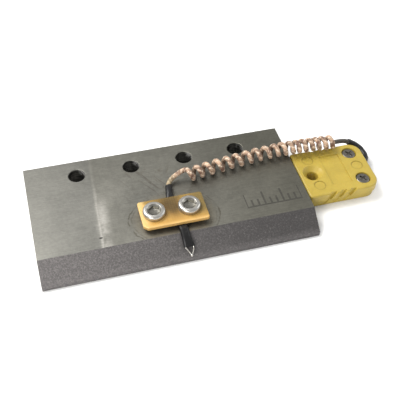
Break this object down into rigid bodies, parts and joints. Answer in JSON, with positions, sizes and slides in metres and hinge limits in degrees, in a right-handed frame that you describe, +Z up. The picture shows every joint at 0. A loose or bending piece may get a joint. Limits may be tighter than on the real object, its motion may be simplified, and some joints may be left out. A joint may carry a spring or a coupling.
{
  "type": "hot-bar bonding head with clamped thermocouple",
  "caption": "Ground steel hot bar with a sloped working edge, screwed clamp plate over a sleeved thermocouple, and a curly lead to a miniature flat connector.",
  "frame": {"origin": "bottom centre of the head without its lead and connector, on the flat underside", "axes": "+X along the working edge towards the end where the connector lies, +Y from the working edge to the back face with the mounting holes, +Z up through the bar's thickness"},
  "size_m": [0.0902, 0.035, 0.009],
  "materials": {
    "ground_steel": "ground flat faces, rough wire-cut slope, heat-tinted round the clamp",
    "epoxy_board": "yellow-brown glass-cloth epoxy board, slightly see-through",
    "plated_steel": "bright nickel plate",
    "sensor_alloy": "drawn thermocouple alloy",
    "black_sleeve": "satin shrink sleeve",
    "lead_braid": "copper-brown glass-fibre braid with cream flecks",
    "connector_shell": "yellow glass-filled nylon, low gloss"
  },
  "bodies": {
    "head": {"hot_bar": "ground_steel", "sensor_wire_positive": "sensor_alloy", "sensor_wire_negative": "sensor_alloy", "junction_bead": "sensor_alloy", "sensor_sleeve": "black_sleeve", "lead_start": "lead_braid", "lead_coil": "lead_braid", "lead_tail": "lead_braid", "tail_sleeve": "black_sleeve", "connector_cover": "connector_shell", "connector_base": "connector_shell", "cover_screws": "plated_steel", "cover_nuts": "plated_steel", "contact_positive": "sensor_alloy", "contact_negative": "sensor_alloy", "terminal_washers": "plated_steel", "terminal_screws": "plated_steel", "conductor_positive": "sensor_alloy", "conductor_negative": "sensor_alloy"},
    "plate": {"clamp_plate": "epoxy_board"},
    "left_screw": {"clamp_screw_left": "plated_steel"},
    "right_screw": {"clamp_screw_right": "plated_steel"}
  },
  "joints": [
    {"name": "clamp_lift", "type": "slide", "parent": "head", "child": "plate", "axis": [0, 0, 1], "range_m": [0, 0.0025]},
    {"name": "left_screw_turn", "type": "hinge", "parent": "plate", "child": "left_screw", "pos_m": [-0.00515, -0.0065, 0.007], "axis": [0, 0, 1], "range_deg": [0, 1800]},
    {"name": "right_screw_turn", "type": "hinge", "parent": "plate", "child": "right_screw", "pos_m": [0.00355, -0.0065, 0.007], "axis": [0, 0, 1], "range_deg": [0, 1800]}
  ],
  "couplings": [
    {"joint": "left_screw_turn", "follows": "clamp_lift", "rad_per_m": 12566},
    {"joint": "right_screw_turn", "follows": "clamp_lift", "rad_per_m": 12566}
  ]
}
